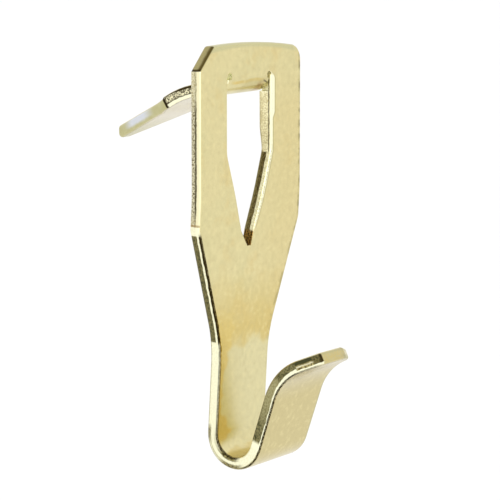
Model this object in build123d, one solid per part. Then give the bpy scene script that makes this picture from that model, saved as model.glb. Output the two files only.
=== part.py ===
"""Drywall picture hook, stamped and folded from one piece of brass-plated sheet steel.

A flat plate lies on the wall. A tongue lanced out of its window is folded back as the
claw that bites into the board, and the strip below the plate turns up into the hook.

Millimetres. +X runs across the plate, +Y into the wall and +Z up. The origin is on the
plate's back face, in the middle of the land above the window.
"""

from build123d import *
import os
from math import radians, sqrt

# ---------------------------------------------------------------- sheet
SHEET = 0.95              # thickness
EDGE_R = 0.25             # outer edges, rolled by the die and by tumbling
WINDOW_EDGE_R = 0.20      # edges of the window
CLAW_EDGE_R = 0.20        # edges of the claw, up to its shoulders
POINT_ROUNDING = 0.32     # edges of the claw's point, as a share of the thickness

# ---------------------------------------------------------------- plate and strip, seen from the front
PLATE_W = 13.0            # across the two straight sides
LAND_ABOVE_WINDOW = 2.45  # from the crown of the top edge to the claw's bend line
SIDE_H = 13.5             # from the crown down to the shoulders
TAPER_H = 8.75            # height of the taper from the shoulders to the neck
STRIP_W = 6.35            # width of the strip at the neck and down the leg
TOP_ARCH_R = 55.0         # shallow arch of the top edge
CROPPED_W = 1.67          # cropped corner, across
CROPPED_H = 1.57          # cropped corner, down the side from the arch
CROPPED_R = 0.3           # rounding of the cropped corner's two ends, in front view
CORNER_R = 1.2            # the other top corner
SHOULDER_R = 1.2
NECK_R = 9.0

# ---------------------------------------------------------------- window and the claw cut from it
WINDOW_W = 5.55
WINDOW_OFFSET = -0.37     # the window is punched off centre
WINDOW_STRAIGHT_H = 5.7   # parallel sides, from the bend line down
WINDOW_TAPER_H = 5.75     # sides drawing in
WINDOW_WAIST_W = 1.5      # width where the sides draw in more steeply
WINDOW_POINT_H = 1.15
WINDOW_POINT_W = 0.4      # blunt point at the bottom
WINDOW_POINT_SHIFT = 0.3  # the point lies to the right of the window's middle
WINDOW_BLEND_R = 2.0      # where the straight sides begin to draw in
RELIEF_R = 0.26           # round reliefs at the ends of the claw's bend
SHEAR_GAP = 0.1           # shaved off each side of the claw

# ---------------------------------------------------------------- claw, seen from the side
CLAW_BEND_R = 0.38        # inside radius of the root bend
CLAW_ROOT_SLOPE = 2.0     # degrees below level as it leaves the plate
CLAW_ROOT_RUN = 0.8
CLAW_DROOP = 29.0         # degrees more that the claw curls down
CLAW_DROOP_R = 8.0        # radius of that curl
CLAW_LIFT = 9.0           # degrees that the point straightens again
CLAW_LIFT_R = 9.0
CLAW_STRETCH = 0.65       # drawn out of the sheet as the root is folded
CLAW_TIP_TRIM = 0.25      # lost from the narrow point of the blank
CLAW_TIP_W = 1.1
SHOULDER_STEP = 0.12      # step in each side of the claw where the point begins
SHOULDER_LAP = 0.25       # the point runs back this far inside the shoulders
CLAW_SKEW = 2.0           # degrees that the claw's right side rises
CLAW_OVERLAP = 0.3        # blended into the land above the bend line

# ---------------------------------------------------------------- leg and hook, seen from the side
FLAT_H = 10.3             # from the crown down to where the sheet leans back
LEAN = 3.3                # degrees towards the wall
LEAN_R = 30.0
LEG_RUN = 17.0            # straight leg between the lean and the hook
HOOK_R = 1.53             # inside radius of the hook
LIP_SPLAY = 18.6          # degrees that the rising lip splays forward
LIP_RUN = 4.1             # straight part of the lip
LIP_FLARE_R = 3.95        # inside radius of the flare, on the side that faces the floor
LIP_FLARE = 45.5          # degrees that the lip flares outwards again
LIP_END_RUN = 0.3         # straight again, up to the cropped corners
LIP_SPREAD = 0.45         # wider than the strip at the lip's end, before its corners are cropped
LIP_CROP_W = 1.95         # cropped corners of the lip, across
LIP_CROP_L = 1.1          # cropped corners of the lip, along it

# ---------------------------------------------------------------- worked out from the sizes above
TOP = LAND_ABOVE_WINDOW / 2          # crown of the top edge
BEND_LINE = TOP - LAND_ABOVE_WINDOW  # where the claw leaves the plate
HALF_SHEET = SHEET / 2
OVERRUN = 2 * SHEET                  # cutters pass this far beyond the sheet
POINT_EDGE_R = POINT_ROUNDING * SHEET
LIP_W = STRIP_W + LIP_SPREAD


def run(length):
    """A straight run of a bent strip."""
    return ("run", length, 0)


def bend(turn, radius):
    """A bend of a strip: degrees, positive to its left, and the radius of its centre line."""
    return ("bend", radius, turn)


def centre_line(start, direction, moves):
    """Tangent lines and arcs from a start point, in side view with Y across and Z up."""
    edges = []
    for kind, size, turn in moves:
        if kind == "run":
            edge = Edge.make_line(start, start + direction * size)
        else:
            edge = JernArc(start, direction, size, turn).edge()
        edges.append(edge)
        start = edge @ 1
        direction = edge % 1
    return Wire(edges)


def strip(path, width):
    """A strip of the sheet's thickness along a path drawn in side view."""
    return extrude(Plane.YZ * trace(path, SHEET), width / 2, both=True)


def nearest_vertices(face, *places):
    """The vertices of a face that lie at the given places."""
    return [min(face.vertices(), key=lambda v: (Vector(v) - Vector(*place)).length) for place in places]


def arch_z(x):
    """Height of the arched top edge at a distance x from the middle."""
    return TOP - TOP_ARCH_R + sqrt(TOP_ARCH_R**2 - x**2)


def front_outline():
    """Outline of plate and leg in front view: X across, Z up."""
    side = PLATE_W / 2
    neck = STRIP_W / 2
    shoulder_z = TOP - SIDE_H
    neck_z = shoulder_z - TAPER_H
    foot_z = TOP - FLAT_H - LEAN_R - LEG_RUN
    cropped_x = CROPPED_W - side
    cropped = (cropped_x, arch_z(cropped_x))
    cropped_side = (-side, arch_z(side) - CROPPED_H)
    corner = (side, arch_z(side))
    top_edge = ThreePointArc(cropped, (0, TOP), corner)
    sides = Polyline(
        corner,
        (side, shoulder_z),
        (neck, neck_z),
        (neck, foot_z),
        (-neck, foot_z),
        (-neck, neck_z),
        (-side, shoulder_z),
        cropped_side,
        cropped,
    )
    face = make_face([top_edge, *sides.edges()])
    face = fillet(nearest_vertices(face, corner), CORNER_R)
    face = fillet(nearest_vertices(face, cropped, cropped_side), CROPPED_R)
    face = fillet(nearest_vertices(face, (side, shoulder_z), (-side, shoulder_z)), SHOULDER_R)
    return fillet(nearest_vertices(face, (neck, neck_z), (-neck, neck_z)), NECK_R)


def plate_and_leg(path):
    """The sheet from its top edge to the start of the hook, cut to its front outline."""
    depth = 2 * path.bounding_box().size.Y
    cutter = extrude(Plane.XZ * front_outline(), depth, both=True)
    return strip(path, PLATE_W) & cutter


def hook_and_lip(path):
    """The turned-up end of the strip, widening towards its lip."""
    box = path.bounding_box()
    plan = Polyline(
        (STRIP_W / 2, box.max.X + SHEET),
        (STRIP_W / 2, path.position_at(0).X - HOOK_R),
        (LIP_W / 2, box.min.X),
        (LIP_W / 2, box.min.X - OVERRUN),
        (-LIP_W / 2, box.min.X - OVERRUN),
        (-LIP_W / 2, box.min.X),
        (-STRIP_W / 2, path.position_at(0).X - HOOK_R),
        (-STRIP_W / 2, box.max.X + SHEET),
        close=True,
    )
    cutter = extrude(make_face(plan), -2 * box.min.Y, both=True)
    return crop_lip(strip(path, 2 * LIP_W) & cutter, path)


def crop_lip(lip, path):
    """Crop the two corners of the lip's end, square to the sheet."""
    end = path @ 1
    along = path % 1
    lip_end = Plane(origin=(0, end.X, end.Y), x_dir=(1, 0, 0), z_dir=(0, -along.Y, along.X))
    corner = LIP_W / 2
    for side in (-1, 1):
        outline = Polyline(
            (side * (corner - LIP_CROP_W), 0),
            (side * corner, -LIP_CROP_L),
            (side * (corner + LIP_CROP_W), 0),
            close=True,
        )
        lip -= extrude(lip_end * make_face(outline), OVERRUN, both=True)
    return lip


def body():
    """Plate, leaning leg, hook and flared lip, before the window is cut."""
    down = Vector(0, -1)
    leg_path = centre_line(
        Vector(-HALF_SHEET, TOP + OVERRUN),
        down,
        [run(OVERRUN + FLAT_H), bend(LEAN, LEAN_R), run(LEG_RUN)],
    )
    hook_path = centre_line(
        leg_path @ 1,
        leg_path % 1,
        [
            bend(LIP_SPLAY - LEAN - 180, HOOK_R + HALF_SHEET),
            run(LIP_RUN),
            bend(LIP_FLARE, LIP_FLARE_R + HALF_SHEET),
            run(LIP_END_RUN + LIP_CROP_L),
        ],
    )
    return plate_and_leg(leg_path) + hook_and_lip(hook_path)


def window_levels():
    """Distance below the bend line, middle and half-width at each corner of the window."""
    waist = WINDOW_STRAIGHT_H + WINDOW_TAPER_H
    return [
        (0, 0, WINDOW_W / 2),
        (WINDOW_STRAIGHT_H, 0, WINDOW_W / 2),
        (waist, 0, WINDOW_WAIST_W / 2),
        (waist + WINDOW_POINT_H, WINDOW_POINT_SHIFT, WINDOW_POINT_W / 2),
    ]


def window():
    """Cutter for the window, from the claw's bend line down."""
    right = [(middle + half, -drop) for drop, middle, half in window_levels()]
    left = [(middle - half, -drop) for drop, middle, half in reversed(window_levels())]
    face = make_face(Polyline(*right, *left, close=True))
    face = fillet(nearest_vertices(face, right[1], left[-2]), WINDOW_BLEND_R)
    return Pos(WINDOW_OFFSET, 0, BEND_LINE) * extrude(Plane.XZ * face, SHEET + OVERRUN, both=True)


def reliefs():
    """Cutter for the round reliefs at the two ends of the claw's bend line."""
    reach = WINDOW_W / 2 - RELIEF_R
    pair = Pos(-reach, 0) * Circle(RELIEF_R) + Pos(reach, 0) * Circle(RELIEF_R)
    cutter = extrude(Plane.XZ.offset(-CLAW_BEND_R) * pair, CLAW_BEND_R + OVERRUN)
    return Pos(WINDOW_OFFSET, 0, BEND_LINE) * cutter


def claw():
    """The tongue cut from the window, folded back and curled down, with a rounded point."""
    moves = [
        run(CLAW_OVERLAP),
        bend(90 - CLAW_ROOT_SLOPE, CLAW_BEND_R + HALF_SHEET),
        run(CLAW_ROOT_RUN),
        bend(-CLAW_DROOP, CLAW_DROOP_R),
        bend(CLAW_LIFT, CLAW_LIFT_R),
    ]
    curled = sum(size if kind == "run" else size * radians(abs(turn)) for kind, size, turn in moves)
    shoulder_at = CLAW_OVERLAP + CLAW_STRETCH + WINDOW_STRAIGHT_H
    length = shoulder_at + WINDOW_TAPER_H + WINDOW_POINT_H - CLAW_TIP_TRIM
    path = centre_line(Vector(-HALF_SHEET, CLAW_OVERLAP), Vector(0, -1), [*moves, run(length - curled)])
    shoulder = path.position_at(shoulder_at, position_mode=PositionMode.LENGTH).X
    half = WINDOW_W / 2 - SHEAR_GAP
    sheet = strip(path, WINDOW_W)
    pieces = tongue(sheet, half, shoulder) + point(sheet, half - SHOULDER_STEP, shoulder, (path @ 1).X)
    return Pos(WINDOW_OFFSET, 0, BEND_LINE) * Rot(0, -CLAW_SKEW, 0) * pieces


def tongue(sheet, half, shoulder):
    """The claw's parallel part, from its root to its shoulders."""
    plan = make_face(Polyline((half, -OVERRUN), (half, shoulder), (-half, shoulder), (-half, -OVERRUN), close=True))
    parallel = sheet & extrude(plan, PLATE_W, both=True)
    free = [e for e in parallel.edges() if e.center().Z < 0 and e.center().Y < shoulder - SHOULDER_LAP]
    return rounded(parallel, free, CLAW_EDGE_R)


def point(sheet, half, shoulder, tip):
    """The claw's tapering point, which starts a little way inside the shoulders."""
    tip_half = CLAW_TIP_W / 2
    back = shoulder - SHOULDER_LAP
    widest = half + SHOULDER_LAP * (half - tip_half) / (tip - shoulder)
    plan = make_face(Polyline((widest, back), (tip_half, tip), (-tip_half, tip), (-widest, back), close=True))
    plan = fillet(nearest_vertices(plan, (tip_half, tip), (-tip_half, tip)), 0.42 * CLAW_TIP_W)
    tapered = sheet & extrude(plan, PLATE_W, both=True)
    free = [e for e in tapered.edges() if e.center().Y > back + SHOULDER_LAP]
    return rounded(tapered, free, POINT_EDGE_R)


def rounded(solid, edges, radius):
    """Round the edges where a face of the sheet meets a cut wall; corners through the sheet stay."""
    cut_edges = []
    for edge in edges:
        walls = [face for face in solid.faces() if any(edge.is_same(other) for other in face.edges())]
        normals = [wall.normal_at(edge @ 0.5) for wall in walls]
        through_sheet = abs(edge.length - SHEET) < 0.01
        if not through_sheet and normals[0].get_angle(normals[1]) > 45:
            cut_edges.append(edge)
    return fillet(cut_edges, radius)


def main():
    os.makedirs("parts", exist_ok=True)
    blank = body()
    blank = rounded(blank, blank.edges(), EDGE_R)

    opening = window()
    plate = blank - opening
    rim = [
        edge
        for edge in new_edges(blank, opening, combined=plate)
        if edge.center().Z < BEND_LINE - EDGE_R and edge.bounding_box().size.Y < HALF_SHEET
    ]
    plate = rounded(plate, rim, WINDOW_EDGE_R)

    hook = plate + claw() - reliefs()
    export_step(hook.solid(), "parts/picture_hook.step")


main()
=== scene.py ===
"""A drywall picture hook: one stamped and folded sheet with a bright brass finish.

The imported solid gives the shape. A merged copy of it carries the finish, with every point
told where it lies in the sheet: across it, along its bends, and how deep below its front.
The hook's lengths are in millimetres, and MM turns them into Blender's metres.
"""

from math import cos, radians, sin
from types import SimpleNamespace

import bmesh
import bpy
import numpy as np
from mathutils import Color, Matrix, Vector

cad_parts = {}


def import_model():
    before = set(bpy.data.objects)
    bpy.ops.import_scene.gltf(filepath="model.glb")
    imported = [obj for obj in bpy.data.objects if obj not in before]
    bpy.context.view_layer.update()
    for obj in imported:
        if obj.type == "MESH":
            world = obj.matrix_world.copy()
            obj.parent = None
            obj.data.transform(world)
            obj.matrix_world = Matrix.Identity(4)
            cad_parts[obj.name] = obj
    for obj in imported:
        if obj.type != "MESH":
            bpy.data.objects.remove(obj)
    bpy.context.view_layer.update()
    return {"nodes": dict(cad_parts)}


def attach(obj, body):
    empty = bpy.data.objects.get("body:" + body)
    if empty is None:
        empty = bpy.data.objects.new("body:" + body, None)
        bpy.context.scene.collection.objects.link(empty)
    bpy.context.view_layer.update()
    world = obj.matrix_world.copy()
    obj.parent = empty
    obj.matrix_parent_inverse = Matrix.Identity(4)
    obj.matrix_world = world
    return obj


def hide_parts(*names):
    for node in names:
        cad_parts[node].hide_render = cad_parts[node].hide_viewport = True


MM = 0.001

# ---------------------------------------------------------------- the sheet, in front view
SHEET = 0.95            # thickness
CROWN = 1.225           # height of the top edge
CROWN_FALL = 0.0145     # how the top edge falls away, per millimetre across squared
BEND_LINE = -1.225      # height at which the claw leaves the plate
WINDOW_OFFSET = -0.37   # middle of the window and the claw, across the plate
WINDOW_RIGHT = 2.405    # right wall of the window, across the plate
WINDOW_SLOPE = 0.352    # how fast that wall draws in below its straight part
WINDOW_ROUNDED = 0.21   # share of the thickness that the rounding of the window's rim takes
RELIEF_OUT = 2.515      # middle of a relief, from the window's middle
RELIEF_HALF = 0.3       # half a relief's width, with a little to spare
CLAW_HALF = 2.7         # half the claw's width, with a little to spare
CLAW_SKEW = 2.0         # degrees that the claw is rolled on its own line

# height, and how far the window's right wall leans in there
LEAN_LEVELS = [(-2.43, 0.0), (-2.48, 0.3), (-5.2, 0.27), (-6.75, 0.0)]
LEAN_TOP = -1.5         # no point above this height leans

# ---------------------------------------------------------------- places along the sheet, from its top edge
CLAW_START = 2.15       # the claw's own line starts here
SIDE = 1.95             # the straight side starts below the cropped corner
FOLD = 2.45             # the claw's fold, with a relief at each end
WINDOW_KNEE = 8.15      # the window's wall leaves its straight part
WINDOW_MIDDLE = 8.2     # about halfway down the window
WINDOW_REACH = 7.0      # from there to beyond either end of the window
CLAW_POINT = 8.62       # the shoulders where the claw's point starts
SHOULDER = 13.5         # the plate's shoulders
TAPER = 13.8            # the tear turns dark below the shoulders
WINDOW_POINT = 13.9     # the window's short point
NECK = 22.05            # the taper ends and the leg starts
HOOK_BEND = 28.0        # a little above the hook's bend
LIP = 34.6              # the bend ends and the lip rises
LIP_CORNER = 42.55      # the lip's corners are cropped
LINE_END = 50.0         # beyond the end of the lip

# place along the sheet, and half its width there
HALF_WIDTHS = [(13.5, 6.5), (21.7, 3.175), (42.5, 3.3), (43.8, 1.45)]
WIDEST = 10.0           # more than any half-width

SAMPLE = 0.02           # spacing of the places worked out along a line
BATCH = 500             # places compared with a line at a time
MERGED = 0.0005         # points nearer than this are one


def bend(radius, turn):
    """A move round a bend: its length and the degrees turned to the left."""
    return radius * radians(abs(turn)), turn


# each move is a length and the degrees turned to the left over it
BODY_MOVES = [(10.3, 0), bend(30, 3.3), (17.0, 0), bend(2.005, -164.7), (4.1, 0), bend(4.425, 45.5), (1.4, 0)]
CLAW_MOVES = [(0.3, 0), bend(0.855, 88), (0.8, 0), bend(8.0, -29), bend(9.0, 9), (8.0, 0)]


def bent_line(start, moves):
    """Rows of distance gone, Y, Z and the normal towards the back, on a line that starts downwards."""
    rows = []
    (y, z), heading, gone = start, radians(-90), 0.0
    for length, turn in moves:
        steps = round(length / SAMPLE)
        stride, swing = length / steps, radians(turn) / steps
        for _ in range(steps):
            rows.append((gone, y, z, -sin(heading), cos(heading)))
            y += stride * cos(heading + swing / 2)
            z += stride * sin(heading + swing / 2)
            heading += swing
            gone += stride
    return np.array(rows)


def nearest_rows(line, places):
    """For each place in side view, the nearest row of a line and how far off it is."""
    near = np.empty(len(places), int)
    for first in range(0, len(places), BATCH):
        apart = places[first : first + BATCH, None, :] - line[None, :, 1:3]
        near[first : first + BATCH] = (apart**2).sum(2).argmin(1)
    rows = line[near]
    return rows, np.linalg.norm(places - rows[:, 1:3], axis=1)


def places_in_sheet(mesh):
    """For each point, its place in the sheet, the sheet's own normal, and whether it is on the claw.

    A place is the distance across and along the sheet, and the share of the thickness below its front.
    """
    points = np.array([v.co for v in mesh.vertices]) / MM
    beside = points[:, 0] - WINDOW_OFFSET
    skew = sin(radians(CLAW_SKEW))
    unrolled = points[:, 2] - beside * skew
    body_line = bent_line((-SHEET / 2, CROWN), BODY_MOVES)
    claw_line = bent_line((-SHEET / 2, CROWN - CLAW_START), CLAW_MOVES)
    body, _ = nearest_rows(body_line, points[:, 1:])
    claw, off = nearest_rows(claw_line, np.column_stack([points[:, 1], unrolled]))
    below_fold = points[:, 2] < BEND_LINE - 0.01
    on_claw = (abs(beside) < CLAW_HALF) & below_fold & (off < SHEET / 2 + 0.05)

    gone, y, z, normal_y, normal_z = np.where(on_claw[:, None], claw, body).T
    height = np.where(on_claw, unrolled, points[:, 2])
    depth = ((points[:, 1] - y) * normal_y + (height - z) * normal_z) / SHEET + 0.5
    return {
        "sheet_place": np.column_stack([points[:, 0], gone + CLAW_START * on_claw, depth]),
        "sheet_normal": np.column_stack([-skew * on_claw * normal_z, normal_y, normal_z]),
        "on_claw": np.column_stack([on_claw, on_claw, on_claw]),
    }


def keep_on_points(mesh, name, values):
    """Store a vector on each point of a mesh."""
    told = mesh.attributes.new(name, "FLOAT_VECTOR", "POINT")
    told.data.foreach_set("vector", values.astype(np.float32).ravel())


def smooth_corners(mesh, places, normals):
    """Shade the sheet's two faces by the sheet's own normal, and round its edges by area."""
    same_way = 0.75         # cosine between normals that are shaded as one
    at_face = 0.02          # share of the thickness that counts as the face
    around = [[] for _ in mesh.vertices]
    for face in mesh.polygons:
        for point in face.vertices:
            around[point].append(face)
    shading = []
    for face in mesh.polygons:
        for point in face.vertices:
            own = Vector(normals[point])
            side = face.normal.dot(own)
            depth = places[point, 2]
            if min(abs(depth), abs(1 - depth)) < at_face and abs(side) > same_way:
                shading.append(own * (1 if side > 0 else -1))
                continue
            near = [f.normal * f.area for f in around[point] if f.normal.dot(face.normal) > same_way]
            shading.append(sum(near, Vector()).normalized())
    mesh.normals_split_custom_set(shading)


def on_leaning_wall(vertex):
    """Whether a point is on the part of the window's right wall that leans."""
    across, _, height = vertex.co / MM
    return -0.05 < across - WINDOW_RIGHT < 0.25 and LEAN_LEVELS[-1][0] < height < LEAN_TOP


def lean_window_wall(grown):
    """Lean the window's right wall in towards the back, below the claw, as a lanced edge tears."""
    for height, _ in LEAN_LEVELS[:-1]:
        faces = [f for f in grown.faces if any(on_leaning_wall(v) for v in f.verts)]
        edges = {e for f in faces for e in f.edges}
        cut = faces + list(edges) + list({v for e in edges for v in e.verts})
        level = (0, 0, height * MM)
        bmesh.ops.bisect_plane(grown, geom=cut, dist=0.001 * MM, plane_co=level, plane_no=(0, 0, 1))
    heights, leans = zip(*reversed(LEAN_LEVELS))
    for vertex in grown.verts:
        if on_leaning_wall(vertex):
            depth = vertex.co.y / MM / SHEET + 1
            share = (depth - WINDOW_ROUNDED) / (1 - 2 * WINDOW_ROUNDED)
            lean = float(np.interp(vertex.co.z / MM, heights, leans))
            vertex.co.x -= min(max(share, 0), 1) * lean * MM


def finished_sheet(node):
    """A merged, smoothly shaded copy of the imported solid, flat where the sheet is flat."""
    mesh = bpy.data.meshes.new("hook_sheet")
    grown = bmesh.new()
    grown.from_mesh(node.data)
    bmesh.ops.remove_doubles(grown, verts=grown.verts, dist=MERGED * MM)
    lean_window_wall(grown)
    for face in grown.faces:
        face.smooth = True
    grown.to_mesh(mesh)
    grown.free()
    mesh.materials.clear()
    told = places_in_sheet(mesh)
    for name, values in told.items():
        keep_on_points(mesh, name, values)
    smooth_corners(mesh, told["sheet_place"], told["sheet_normal"])
    sheet = bpy.data.objects.new("hook_sheet", mesh)
    bpy.context.scene.collection.objects.link(sheet)
    return sheet


# ---------------------------------------------------------------- node helpers
def paint(red, green, blue):
    """A colour given in display values from 0 to 255, as linear RGBA."""
    shown = Color((red / 255, green / 255, blue / 255))
    return (*shown.from_srgb_to_scene_linear(), 1.0)


def add(tree, kind, inputs=None, **settings):
    """Add a shader node, with its settings, values and links."""
    made = tree.nodes.new("ShaderNode" + kind)
    for name, value in settings.items():
        setattr(made, name, value)
    for name, value in (inputs or {}).items():
        if isinstance(value, bpy.types.NodeSocket):
            tree.links.new(value, made.inputs[name])
        else:
            made.inputs[name].default_value = value
    return made


def maths(tree, operation, first, second=0.0):
    """A number worked out from two others."""
    return add(tree, "Math", {0: first, 1: second}, operation=operation).outputs[0]


def plus(tree, first, second):
    """The sum of two numbers."""
    return maths(tree, "ADD", first, second)


def minus(tree, first, second):
    """The first number less the second."""
    return maths(tree, "SUBTRACT", first, second)


def size_of(tree, value):
    """A number without its sign."""
    return maths(tree, "ABSOLUTE", value)


def larger(tree, first, second):
    """The larger of two numbers."""
    return maths(tree, "MAXIMUM", first, second)


def times(tree, *factors):
    """Several factors multiplied together."""
    product = factors[0]
    for factor in factors[1:]:
        product = maths(tree, "MULTIPLY", product, factor)
    return product


def between(tree, value, low, high, to_low=0.0, to_high=1.0):
    """A smooth change from to_low to to_high as a value goes from low to high."""
    inputs = {"Value": value, "From Min": low, "From Max": high, "To Min": to_low, "To Max": to_high}
    return add(tree, "MapRange", inputs, interpolation_type="SMOOTHSTEP").outputs["Result"]


def band(tree, value, middle, half, soft):
    """One inside a band about a middle value, falling softly to nought outside it."""
    away = size_of(tree, minus(tree, value, middle))
    return between(tree, away, half, half + soft, 1.0, 0.0)


def curve(tree, value, knots):
    """A number from 0 to 1, read from straight lines between the given knots."""
    made = add(tree, "ValToRGB", {"Fac": value})
    made.color_ramp.interpolation = "LINEAR"
    stops = made.color_ramp.elements
    while len(stops) < len(knots):
        stops.new(0.5)
    for stop, (place, level) in zip(stops, knots):
        stop.position = place
        stop.color = (level, level, level, 1)
    return made.outputs["Color"]


def stretches(tree, along, *knots):
    """A number from 0 to 1, read from knots of place along the sheet and level."""
    shares = [(place / LINE_END, level) for place, level in knots]
    return curve(tree, maths(tree, "DIVIDE", along, LINE_END), shares)


def past(tree, at, place, blend):
    """Nought before a place along the sheet, and one from a short blend beyond it."""
    return between(tree, at.along, place, place + blend)


def grain(tree, vector, size, detail=3.0, rough=0.6):
    """Noise whose blotches are about the given size in millimetres, from 0 to 1."""
    inputs = {"Vector": vector, "Scale": 1 / (size * MM), "Detail": detail, "Roughness": rough}
    return add(tree, "TexNoise", inputs).outputs["Fac"]


def mixed(tree, factor, first, second):
    """Two colours mixed by a factor."""
    made = add(tree, "Mix", {"Factor": factor}, data_type="RGBA")
    for socket, value in ((made.inputs[6], first), (made.inputs[7], second)):
        if isinstance(value, bpy.types.NodeSocket):
            tree.links.new(value, socket)
        else:
            socket.default_value = value
    return made.outputs[2]


def stripe(tree, colour, tint, depth, middle, half, strength=1.0, soft=0.03):
    """A colour with a stripe of a tint at a depth in the cut wall."""
    return mixed(tree, times(tree, band(tree, depth, middle, half, soft), strength), colour, tint)


# ---------------------------------------------------------------- colours
# plated faces, and a painted pale reflection for the leg
FACE = paint(223, 211, 158)
FACE_GREEN = paint(218, 208, 156)
FACE_WARM = paint(221, 204, 146)
LEG_PALE_REFLECTION = paint(220, 211, 163)
LIP_BACK = paint(205, 191, 138)
LIP_TOP = paint(198, 186, 143)
UNDERSIDE = paint(214, 205, 180)
TOP_EDGE = paint(202, 197, 150)
# burnished metal, also used for painted highlights, from the brightest down
BURNISHED = paint(255, 253, 219)
BRIGHT = paint(254, 252, 218)
CREAM = paint(247, 240, 198)
STRAW = paint(240, 228, 172)
PALE = paint(232, 226, 192)
ICE = paint(216, 219, 224)
# dull and torn metal, also used for painted shade
TAN = paint(194, 182, 126)
TAN_LIGHT = paint(209, 198, 150)
CLAW_TAN = paint(182, 176, 122)
CLAW_PALE = paint(204, 200, 158)
OLIVE = paint(160, 150, 100)
OLIVE_LIGHT = paint(186, 180, 136)
GRIT_LIGHT = paint(196, 182, 132)
GRIT_MIDDLE = paint(150, 136, 84)
GRIT_DARK = paint(92, 80, 40)
GREEN_DARK = paint(70, 70, 44)
BURNT = paint(58, 48, 22)
SEAM = paint(46, 36, 12)
# warm stains, and warm tints also used for painted reflections and painted shade
GOLDEN_REFLECTION = paint(222, 198, 120)
OCHRE = paint(214, 190, 114)
BROWN = paint(150, 114, 52)


# ---------------------------------------------------------------- the cut edge, stretch by stretch
def crop_wall(tree, at):
    """The cropped corner: smooth olive, nearly black along the front and the lower end."""
    colour = mixed(tree, times(tree, at.grit, 0.3), OLIVE, GRIT_LIGHT)
    colour = mixed(tree, between(tree, at.depth, 0.5, 0.2), colour, GRIT_DARK)
    return mixed(tree, between(tree, at.along, SIDE - 0.2, SIDE - 0.05), colour, BURNT)


def side_wall(tree, at):
    """The plate's straight side: a bright roll in front, a dark seam, and a sandy tear, darkest midway, with
    a painted highlight at the shoulders.
    """
    worn = stretches(
        tree, at.along, (2.0, 0.2), (3.8, 0.3), (5.0, 0.9), (11.8, 1.0), (12.8, 0.4), (13.6, 0.1)
    )
    sandy = mixed(tree, at.grit, GRIT_LIGHT, PALE)
    torn = mixed(tree, worn, sandy, mixed(tree, at.grit, GRIT_DARK, PALE))
    torn = mixed(tree, times(tree, between(tree, at.blotch, 0.55, 0.7), 0.35), torn, BROWN)
    colour = mixed(tree, between(tree, at.depth, 0.34, 0.42), CREAM, torn)
    colour = stripe(tree, colour, BURNT, at.depth, 0.48, 0.05, times(tree, worn, 0.85), 0.06)
    # painted highlight: a bright band on the corner where the side meets the taper at the shoulders
    colour = mixed(tree, times(tree, band(tree, at.along, SHOULDER, 0.3, 0.06), 0.8), colour, BRIGHT)
    colour = mixed(tree, times(tree, band(tree, at.along, SHOULDER - 0.42, 0.05, 0.06), 0.6), colour, BROWN)
    return stripe(tree, colour, OLIVE, at.depth, 0.98, 0.05, 0.8)


def taper_wall(tree, at):
    """The tapering side: a burnished stripe in front of a dark, coarse tear."""
    torn = mixed(tree, times(tree, at.grit, 0.6), GREEN_DARK, mixed(tree, at.depth, GRIT_MIDDLE, OLIVE))
    burnished = mixed(tree, times(tree, at.grit, 0.25), BRIGHT, GRIT_LIGHT)
    colour = mixed(tree, between(tree, at.depth, 0.34, 0.39), burnished, torn)
    colour = mixed(tree, between(tree, at.depth, 0.22, 0.18), colour, SEAM)
    return stripe(tree, colour, OLIVE_LIGHT, at.depth, 1.0, 0.04, 0.8)


def leg_wall(tree, at):
    """The leg's side: burnished right through, greyer at the back."""
    colour = mixed(tree, times(tree, at.grit, 0.2), BURNISHED, GRIT_LIGHT)
    return stripe(tree, colour, OLIVE, at.depth, 0.92, 0.08, 0.8, 0.06)


def bend_wall(tree, at):
    """The side round the hook's bottom: stretched and torn at the inside and the outside of the bend."""
    outer = stretches(
        tree,
        at.along,
        *[(28.3, 0.0), (28.8, 0.9), (29.4, 0.8), (29.8, 0.0)],
        *[(31.0, 0.1), (31.5, 1.0), (32.6, 0.9), (33.1, 0.0)],
    )
    inner = stretches(tree, at.along, (28.5, 0.0), (30.4, 0.5), (30.9, 1.0), (32.3, 1.0), (32.9, 0.0))
    torn = mixed(tree, between(tree, at.grit, 0.2, 0.8), BURNT, OLIVE)
    colour = mixed(tree, times(tree, outer, between(tree, at.depth, 0.54, 0.66)), leg_wall(tree, at), torn)
    colour = mixed(tree, times(tree, inner, between(tree, at.depth, 0.4, 0.3)), colour, torn)
    split = stretches(tree, at.along, (29.3, 0.0), (29.6, 0.7), (31.2, 0.7), (31.5, 0.0))
    return stripe(tree, colour, OLIVE, at.depth, 0.7, 0.02, split)


def lip_wall(tree, at):
    """The lip's side: torn along the inside and burnished along the outside, with lighter stretches of the
    torn inside painted as highlights.
    """
    # painted highlights: lighter stretches along the lip's torn inside, where the flare turns
    light = stretches(
        tree,
        at.along,
        *[(35.2, 1.0), (35.5, 0.0), (36.8, 0.1), (37.6, 0.45)],
        *[(38.6, 0.65), (40.4, 0.75), (40.8, 0.0), (42.3, 0.1)],
    )
    torn = mixed(tree, times(tree, between(tree, at.grit, 0.1, 0.9), 0.6), GREEN_DARK, OLIVE)
    torn = mixed(tree, light, torn, mixed(tree, at.grit, OLIVE, OLIVE_LIGHT))
    torn = mixed(tree, between(tree, at.along, 35.5, 35.2), torn, BRIGHT)
    start = stretches(tree, at.along, (35.0, 0.8), (38.5, 0.8), (40.5, 0.68), (42.5, 0.6))
    burnished = between(tree, minus(tree, at.depth, start), -0.03, 0.03)
    return mixed(tree, burnished, torn, BRIGHT)


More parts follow.
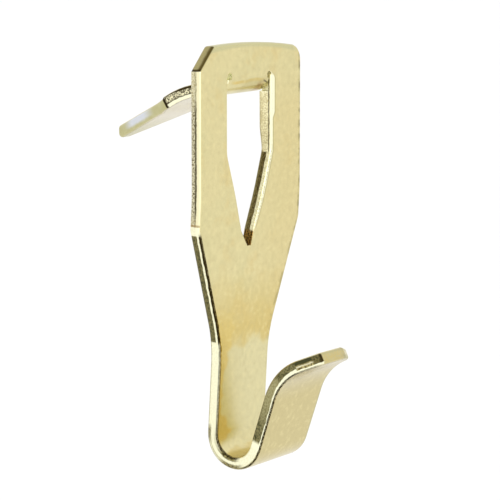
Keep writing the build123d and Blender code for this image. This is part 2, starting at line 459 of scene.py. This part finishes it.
def lip_corner(tree, at):
    """The lip's cropped corners: on the left a tan patch, then coarse and dark; on the right olive."""
    patch = mixed(tree, at.grit, TAN, GRIT_DARK)
    patch = mixed(tree, between(tree, at.depth, 0.42, 0.34), patch, GREEN_DARK)
    patch = stripe(tree, patch, PALE, at.depth, 0.52, 0.04, 0.7)
    coarse = mixed(tree, times(tree, at.grit, 0.6), GREEN_DARK, GRIT_MIDDLE)
    coarse = mixed(tree, between(tree, at.off_middle, 1.75, 1.55), coarse, BURNT)
    colour = mixed(tree, between(tree, at.off_middle, 2.3, 2.1), patch, coarse)
    colour = mixed(tree, between(tree, at.depth, 0.72, 0.78), colour, BRIGHT)
    right = mixed(tree, at.grit, OLIVE_LIGHT, PALE)
    return mixed(tree, between(tree, at.across, 0.0, 0.5), colour, right)


def lip_end(tree, at):
    """The sheared end of the lip: dull tan with golden specks."""
    colour = mixed(tree, at.blotch, TAN, TAN_LIGHT)
    colour = mixed(tree, times(tree, between(tree, at.grit, 0.5, 0.9), 0.5), colour, OCHRE)
    return mixed(tree, times(tree, between(tree, at.depth, 0.3, 0.15), 0.6), colour, OLIVE_LIGHT)


def window_wall(tree, at):
    """The window's wall: bright down to its knee, dark where it draws in, brown in its point."""
    bright = mixed(tree, times(tree, at.grit, 0.8), CREAM, GRIT_LIGHT)
    bright = mixed(tree, times(tree, between(tree, at.speck, 0.3, 0.9), 0.5), bright, OCHRE)
    bright = mixed(tree, times(tree, between(tree, at.along, 3.9, 3.6), 0.8), bright, BRIGHT)
    bright = mixed(tree, between(tree, at.depth, 0.22, 0.18), bright, CREAM)
    bright = stripe(tree, bright, SEAM, at.depth, 0.22, 0.03, 0.8)
    ragged = stretches(tree, at.along, (4.4, 0.1), (5.6, 0.9), (8.2, 1.0))
    ragged = times(tree, ragged, between(tree, at.grit, 0.2, 0.8, 1.0, 0.3))
    bright = mixed(tree, times(tree, ragged, between(tree, at.depth, 0.76, 0.84)), bright, GRIT_MIDDLE)

    dark = mixed(tree, times(tree, at.grit, 0.5), BURNT, GRIT_MIDDLE)
    dark = mixed(tree, times(tree, between(tree, at.depth, 0.6, 0.95), 0.5), dark, OLIVE)
    rough_cream = mixed(tree, times(tree, at.grit, 0.7), CREAM, OLIVE_LIGHT)
    dark = mixed(tree, between(tree, at.depth, 0.36, 0.42), rough_cream, dark)

    colour = mixed(tree, past(tree, at, WINDOW_KNEE + 0.05, 0.15), bright, dark)
    return mixed(tree, past(tree, at, WINDOW_POINT, 0.25), colour, mixed(tree, at.grit, BROWN, SEAM))


def claw_wall(tree, at):
    """The claw's side: speckled between dark lines up to its shoulders, clouded round its point."""
    speckled = mixed(tree, at.grit, SEAM, CREAM)
    roll = mixed(tree, between(tree, at.along, 4.0, 5.0), FACE, BRIGHT)
    speckled = mixed(tree, between(tree, at.depth, 0.3, 0.36), roll, speckled)
    speckled = stripe(tree, speckled, BURNT, at.depth, 0.34, 0.03, 0.8)
    top = stretches(tree, at.along, (3.0, 0.3), (6.6, 0.26), (8.6, 0.12))
    speckled = mixed(tree, between(tree, plus(tree, at.depth, top), 0.99, 1.05), speckled, BURNT)
    speckled = mixed(tree, between(tree, at.along, 8.35, 8.5), speckled, SEAM)

    patch = stretches(tree, at.along, (10.3, 0.0), (11.6, 1.0), (13.4, 1.0), (14.4, 0.0))
    patch = times(tree, patch, between(tree, at.depth, 0.2, 0.5))
    smooth = mixed(tree, patch, mixed(tree, at.blotch, CLAW_TAN, CLAW_PALE), ICE)
    smooth = mixed(tree, times(tree, between(tree, at.depth, 0.86, 0.97), 0.6), smooth, OLIVE)
    return mixed(tree, past(tree, at, CLAW_POINT, 0.06), speckled, smooth)


def relief_wall(tree, at):
    """The walls of the two reliefs: bright on the left, and creamier on the right as painted shade."""
    # painted shade: the right relief's wall is darker than the left one
    return mixed(tree, between(tree, at.across, -0.5, 0.5), BRIGHT, CREAM)


# where each stretch of the sides starts, the length over which it blends in, and its wall
LOWER_SIDES = [
    (TAPER, 0.1, taper_wall),
    (NECK, 0.15, leg_wall),
    (HOOK_BEND, 0.3, bend_wall),
    (LIP, 0.4, lip_wall),
    (LIP_CORNER, 0.1, lip_corner),
]


def cut_walls(tree, at):
    """The cut edge all round the sheet."""
    cut = mixed(tree, between(tree, at.across, -4.7, -4.8), TOP_EDGE, crop_wall(tree, at))
    right_start = times(tree, between(tree, at.across, 4.0, 5.0), between(tree, at.along, 0.6, 1.2))
    side_start = larger(tree, past(tree, at, SIDE, 0.05), right_start)
    cut = mixed(tree, side_start, cut, side_wall(tree, at))
    for start, blend, wall in LOWER_SIDES:
        cut = mixed(tree, past(tree, at, start, blend), cut, wall(tree, at))
    end = times(tree, between(tree, at.off_middle, 1.5, 1.4), between(tree, at.along, 40.0, 41.0))
    cut = mixed(tree, end, cut, lip_end(tree, at))

    inside = band(tree, at.along, WINDOW_MIDDLE, WINDOW_REACH, 0.2)
    inside = times(tree, between(tree, at.off_middle, 3.5, 3.4), inside)
    cut = mixed(tree, inside, cut, window_wall(tree, at))
    cut = mixed(tree, at.claw, cut, claw_wall(tree, at))
    from_middle = size_of(tree, minus(tree, at.across, WINDOW_OFFSET))
    beside_fold = band(tree, at.along, FOLD, RELIEF_HALF, 0.02)
    relief = times(tree, band(tree, from_middle, RELIEF_OUT, RELIEF_HALF, 0.02), beside_fold)
    return mixed(tree, relief, cut, relief_wall(tree, at))


# ---------------------------------------------------------------- the faces and their rolled edges
def plain_faces(tree, at):
    """The satin faces: green-gold and warm clouds, with the tone of each stretch and a painted pale
    reflection down the leg.
    """
    face = mixed(tree, between(tree, at.cloud, 0.35, 0.7), FACE, FACE_GREEN)
    face = mixed(tree, between(tree, grain(tree, at.solid, 2.2), 0.5, 0.75), face, FACE_WARM)
    warm = stretches(tree, at.along, (2.0, 0.2), (5.0, 0.8), (22.0, 0.8), (22.5, 0.0))
    warm = times(tree, between(tree, at.across, -1.0, 5.0), warm)
    face = mixed(tree, times(tree, warm, 0.7), face, FACE_WARM)
    # painted reflection: a pale panel down the front of the leg
    leg = stretches(tree, at.along, (22.0, 0.0), (22.8, 0.9), (29.5, 0.9), (31.0, 0.0))
    face = mixed(tree, times(tree, leg, at.front), face, LEG_PALE_REFLECTION)

    back = between(tree, at.depth, 0.9, 0.98)
    face = mixed(tree, times(tree, back, stretches(tree, at.along, (31.0, 0.0), (34.0, 1.0))), face, LIP_BACK)
    face = mixed(tree, times(tree, back, stretches(tree, at.along, (38.5, 0.0), (42.0, 0.9))), face, LIP_TOP)
    under = times(tree, at.claw, at.front, stretches(tree, at.along, (3.6, 0.0), (5.0, 1.0)))
    point = stretches(tree, at.along, (10.5, 0.0), (13.5, 0.8))
    return mixed(tree, under, face, mixed(tree, point, UNDERSIDE, CLAW_TAN))


def neck_painted_reflections(tree, at, face):
    """Painted warm reflections across the neck, down the left of the leg and in the bottom of the hook."""
    shift = times(tree, at.wave, 2.6)
    inset = stretches(
        tree,
        at.along,
        *[(18.0, 0.4), (21.5, 0.35), (23.0, 0.28), (25.5, 0.12)],
        *[(26.6, 0.1), (28.0, 0.3), (29.2, 0.35), (30.0, 0.1)],
    )
    strength = stretches(
        tree,
        at.along,
        *[(19.5, 0.0), (21.0, 0.75), (23.5, 0.95), (26.5, 0.9)],
        *[(27.6, 1.0), (29.6, 0.95), (30.4, 0.0)],
    )
    warm_reflection_band = stretches(
        tree,
        plus(tree, at.along, shift),
        *[(16.5, 0.0), (19.6, 0.5), (21.3, 0.8), (22.1, 0.7), (22.6, 0.0)],
        *[(31.0, 0.0), (31.4, 0.5), (32.4, 0.6), (32.8, 0.0)],
    )
    from_left = plus(tree, plus(tree, at.across, shift), 3.2)
    golden_reflection_column = between(tree, minus(tree, from_left, times(tree, inset, 4.0)), 0.25, -0.15)
    # painted reflections: an ochre band across the neck and the hook's bottom, and a golden column down the
    # left of the leg
    face = mixed(tree, times(tree, warm_reflection_band, at.front, at.body), face, OCHRE)
    return mixed(tree, times(tree, golden_reflection_column, strength, at.front, at.body), face, GOLDEN_REFLECTION)


def fold_line_and_painted_shade(tree, at, face):
    """An ochre line over the claw's fold, painted shade under it, and a short dark streak of painted shadow
    at its right end.
    """
    fold = minus(tree, at.along, times(tree, at.wave, 0.3))
    line = times(tree, band(tree, fold, 2.72, 0.04, 0.07), band(tree, at.across, -0.5, 1.5, 0.9))
    face = mixed(tree, times(tree, line, at.front, 0.9), face, OCHRE)
    on_fold = times(tree, at.claw, at.front)
    # painted shade: tan under the fold, with a browner patch towards its right end
    shade = times(tree, band(tree, at.along, 3.2, 0.35, 0.4), band(tree, at.across, 0.6, 1.0, 1.6))
    face = mixed(tree, times(tree, shade, on_fold, 0.7), face, TAN)
    corner = times(tree, band(tree, at.along, 3.2, 0.15, 0.4), band(tree, at.across, 1.3, 0.15, 0.5))
    face = mixed(tree, times(tree, corner, on_fold, 0.7), face, BROWN)
    # painted shadow: a short dark slanted line at the fold's right end, by the relief
    slanted = minus(tree, at.along, times(tree, at.across, 0.25))
    crease = times(tree, band(tree, slanted, 2.36, 0.01, 0.06), band(tree, at.across, 2.0, 0.3, 0.3))
    return mixed(tree, times(tree, crease, on_fold, 0.8), face, BURNT)


def mottled(tree, at, face):
    """The satin's fine mottling, a little darker and lighter than the plating round it."""
    mottle = grain(tree, at.solid, 0.45, 3.0, 0.6)
    face = mixed(tree, times(tree, between(tree, mottle, 0.5, 0.7), 0.24), face, GRIT_LIGHT)
    return mixed(tree, times(tree, between(tree, mottle, 0.5, 0.3), 0.3), face, STRAW)


def top_roll(tree, at, face):
    """The greener plating on the roll of the top edge."""
    below_edge = minus(tree, at.along, times(tree, at.across, at.across, CROWN_FALL))
    upper = times(tree, between(tree, below_edge, 0.42, 0.2), between(tree, at.across, 6.2, 5.2), at.body)
    return mixed(tree, times(tree, upper, 0.85), face, TOP_EDGE)


def window_painted_highlight(tree, at, face):
    """A painted highlight down the window's right side for its bright rolled edge, wide beside the claw, in a
    faint dull line.
    """
    drawn_in = times(tree, larger(tree, minus(tree, at.along, WINDOW_KNEE), 0.0), WINDOW_SLOPE)
    from_edge = minus(tree, plus(tree, at.across, drawn_in), WINDOW_RIGHT)
    width = stretches(
        tree,
        at.along,
        *[(2.3, 0.0), (2.42, 0.3), (2.65, 0.46), (5.3, 0.46), (5.7, 0.22)],
        *[(8.15, 0.22), (8.6, 0.26), (12.0, 0.24), (14.4, 0.1)],
    )
    past_width = minus(tree, from_edge, width)
    on_front = times(tree, at.front, at.body)

    # painted highlight: a bright band on the face beside the window's right edge
    roll = times(tree, between(tree, past_width, 0.05, -0.03), between(tree, from_edge, -0.1, 0.0))
    reach = stretches(tree, at.along, (2.3, 0.0), (2.4, 1.0), (13.6, 1.0), (14.2, 0.0))
    bright = mixed(tree, times(tree, between(tree, at.along, 7.0, 8.5), at.grit, 0.6), BRIGHT, OLIVE_LIGHT)
    face = mixed(tree, times(tree, roll, reach, on_front), face, bright)

    reach = stretches(tree, at.along, (2.4, 0.0), (2.7, 0.45), (13.6, 0.45), (14.2, 0.0))
    return mixed(tree, times(tree, band(tree, past_width, 0.09, 0.02, 0.06), reach, on_front), face, OLIVE)


def dark_seams(tree, at, colour):
    """Dark seams in the rolls, down the front of taper, leg and bend, and along the lip's outside, made
    stronger on the left by painted shade.
    """
    side = larger(tree, between(tree, at.off_middle, 2.6, 2.8), between(tree, at.along, 42.5, 42.6))
    # painted shade: the seams are darker on the left side than on the right
    left = between(tree, at.across, 0.5, -0.5, 0.35, 1.0)
    dots = between(tree, at.grit, 0.4, 1.0, 1.0, 0.7)
    front = stretches(
        tree,
        at.along,
        *[(13.6, 0.0), (13.9, 1.0), (22.1, 1.0), (22.4, 0.75)],
        *[(28.0, 0.8), (29.5, 1.0), (32.4, 1.0), (33.0, 0.0)],
    )
    front = times(tree, front, band(tree, at.turned, 0.34, 0.28, 0.04), between(tree, at.depth, 0.34, 0.24))
    back = stretches(
        tree,
        at.along,
        *[(32.6, 0.0), (33.2, 1.0), (42.0, 1.0), (42.7, 0.7), (43.4, 0.6), (43.7, 0.0)],
    )
    back = times(tree, back, band(tree, at.turned, 0.29, 0.23, 0.04), between(tree, at.depth, 0.7, 0.8))
    seam = times(tree, larger(tree, front, back), side, left, dots, at.body)
    return mixed(tree, seam, colour, SEAM)


def right_edges(tree, at, colour):
    """Olive dashes down the plate's right edge, and a lighter line along the lip's right edge."""
    halves = [(place, half / WIDEST) for place, half in HALF_WIDTHS]
    half = times(tree, stretches(tree, at.along, *halves), WIDEST)
    from_right = minus(tree, half, at.across)

    dashes = times(tree, between(tree, from_right, 0.46, 0.3), between(tree, at.depth, 0.5, 0.3))
    dashes = times(tree, dashes, between(tree, at.blotch, 0.45, 0.62, 0.2, 0.95))
    reach = stretches(
        tree, at.along, (0.6, 0.0), (1.2, 1.0), (13.5, 1.0), (15.0, 0.6), (21.7, 0.5), (26.0, 0.2)
    )
    olive = mixed(tree, at.grit, GRIT_MIDDLE, OLIVE)
    colour = mixed(tree, times(tree, dashes, reach, at.body), colour, olive)

    lip_edge = times(tree, between(tree, from_right, 0.42, 0.25), between(tree, at.depth, 0.5, 0.8))
    lip_edge = times(tree, lip_edge, between(tree, at.along, 33.5, 35.0), at.body)
    return mixed(tree, times(tree, lip_edge, 0.7), colour, OLIVE_LIGHT)


# ---------------------------------------------------------------- materials
def read_sheet(tree):
    """What the finish reads at each point: its place in the sheet, how the surface lies there, and grains."""
    at = SimpleNamespace()
    place = add(tree, "Attribute", attribute_name="sheet_place").outputs["Vector"]
    at.across, at.along, at.depth = add(tree, "SeparateXYZ", {"Vector": place}).outputs
    at.off_middle = size_of(tree, at.across)
    at.front = between(tree, at.depth, 0.2, 0.1)
    on_claw = add(tree, "Attribute", attribute_name="on_claw").outputs["Fac"]
    at.claw = between(tree, on_claw, 0.1, 0.9)
    at.body = minus(tree, 1.0, at.claw)

    # how far the surface turns away from the sheet's face, which tells rolls and walls from faces
    normal = add(tree, "Attribute", attribute_name="sheet_normal").outputs["Vector"]
    here = add(tree, "NewGeometry").outputs["Normal"]
    facing = add(tree, "VectorMath", {0: here, 1: normal}, operation="DOT_PRODUCT").outputs["Value"]
    at.turned = minus(tree, 1.0, size_of(tree, facing))
    at.wall = between(tree, at.turned, 0.12, 0.4)

    at.solid = add(tree, "TexCoord").outputs["Object"]
    at.cloud = grain(tree, at.solid, 4.0)
    at.blotch = grain(tree, at.solid, 0.9)
    at.wave = minus(tree, grain(tree, at.solid, 1.6, 1.5), 0.5)
    at.speck = between(tree, grain(tree, at.solid, 0.25, 4.0), 0.5, 0.8)
    at.dust = grain(tree, at.solid, 0.11, 2.0, 0.5)
    at.grit = between(tree, at.dust, 0.36, 0.62)
    return at


def brass_colour(tree, at):
    """The faces, and the cut edge with bands that wander a little in depth."""
    face = plain_faces(tree, at)
    for layer in (neck_painted_reflections, fold_line_and_painted_shade, mottled, top_roll, window_painted_highlight):
        face = layer(tree, at, face)
    wander = minus(tree, grain(tree, at.solid, 0.35), 0.5)
    at.depth = plus(tree, at.depth, times(tree, wander, 0.16))
    colour = mixed(tree, at.wall, face, cut_walls(tree, at))
    return right_edges(tree, at, dark_seams(tree, at, colour))


def brass_finish():
    """Bright brass plating over sheet steel: satin faces, sheared and torn edges."""
    material = bpy.data.materials.new("brass_plated_sheet")
    material.use_nodes = True
    tree = material.node_tree
    tree.nodes.clear()
    at = read_sheet(tree)
    rise = plus(tree, times(tree, grain(tree, at.solid, 0.6), 0.3), times(tree, at.dust, at.wall, 2.0))
    bump = add(tree, "Bump", {"Height": rise, "Strength": 0.25, "Distance": 0.03 * MM})
    satin = plus(tree, 0.2, times(tree, at.cloud, 0.1))
    finish = {
        "Base Color": brass_colour(tree, at),
        "Metallic": 1.0,
        "Roughness": plus(tree, satin, times(tree, at.wall, 0.14)),
        "Normal": bump.outputs["Normal"],
    }
    shader = add(tree, "BsdfPrincipled", finish)
    add(tree, "OutputMaterial", {"Surface": shader.outputs["BSDF"]})
    return material


def floor_finish():
    """Matt near-white paper."""
    material = bpy.data.materials.new("white_paper")
    material.use_nodes = True
    shader = material.node_tree.nodes["Principled BSDF"]
    shader.inputs["Base Color"].default_value = (0.97, 0.97, 0.97, 1)
    shader.inputs["Roughness"].default_value = 0.9
    return material


# ---------------------------------------------------------------- studio, in metres
FLOOR_HALF = 100        # half the floor's width
FLOOR_HEIGHT = -0.2     # well below the hanging hook
LIGHT_PLACE = (-0.45, -0.6, 0.25)
LIGHT_TARGET = (0, 0, -0.014)
LIGHT_SIZE = 0.5
LIGHT_POWER = 1.2       # watts
SKY_STRENGTH = 1.05

VIEW_TARGET = Vector((0, -0.000698, -0.014261))
VIEW_DISTANCE = 0.145903
VIEW_TURN = 55.0        # degrees round to the left from straight in front
VIEW_RISE = 7.508       # degrees above level
VIEW_LENS = 140.3       # focal length for a sensor 36 mm wide


def paper_floor():
    """A wide pale floor."""
    mesh = bpy.data.meshes.new("floor")
    flat = bmesh.new()
    place = Matrix.Translation((0, 0, FLOOR_HEIGHT))
    bmesh.ops.create_grid(flat, x_segments=1, y_segments=1, size=FLOOR_HALF, matrix=place)
    flat.to_mesh(mesh)
    flat.free()
    mesh.materials.append(floor_finish())
    floor = bpy.data.objects.new("floor", mesh)
    bpy.context.scene.collection.objects.link(floor)


def front_light():
    """A square soft light from the front left, above."""
    lamp = bpy.data.lights.new("front_light", "AREA")
    lamp.shape = "SQUARE"
    lamp.size = LIGHT_SIZE
    lamp.energy = LIGHT_POWER
    box = bpy.data.objects.new("front_light", lamp)
    box.location = LIGHT_PLACE
    box.rotation_euler = (Vector(LIGHT_TARGET) - Vector(LIGHT_PLACE)).to_track_quat("-Z", "Y").to_euler()
    bpy.context.scene.collection.objects.link(box)


def studio_sky():
    """Even white surroundings, shown as white."""
    world = bpy.data.worlds.new("studio")
    world.use_nodes = True
    back = world.node_tree.nodes["Background"]
    back.inputs["Color"].default_value = (1, 1, 1, 1)
    back.inputs["Strength"].default_value = SKY_STRENGTH
    bpy.context.scene.world = world
    bpy.context.scene.view_settings.view_transform = "Standard"


def camera():
    """The viewpoint: from the front left, a little above."""
    lens = bpy.data.cameras.new("camera")
    lens.lens = VIEW_LENS
    lens.sensor_width = 36
    lens.clip_start = 0.01
    lens.clip_end = 400
    eye = bpy.data.objects.new("camera", lens)
    turn, rise = radians(VIEW_TURN), radians(VIEW_RISE)
    away = Vector((-sin(turn) * cos(rise), -cos(turn) * cos(rise), sin(rise)))
    eye.location = VIEW_TARGET + VIEW_DISTANCE * away
    eye.rotation_euler = (radians(90) - rise, 0, -turn)
    bpy.context.scene.collection.objects.link(eye)
    bpy.context.scene.camera = eye


def main():
    """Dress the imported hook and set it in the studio."""
    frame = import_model()
    sheet = finished_sheet(frame["nodes"]["picture_hook"])
    sheet.data.materials.append(brass_finish())
    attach(sheet, "root")
    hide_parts("picture_hook")
    paper_floor()
    studio_sky()
    front_light()
    camera()


main()
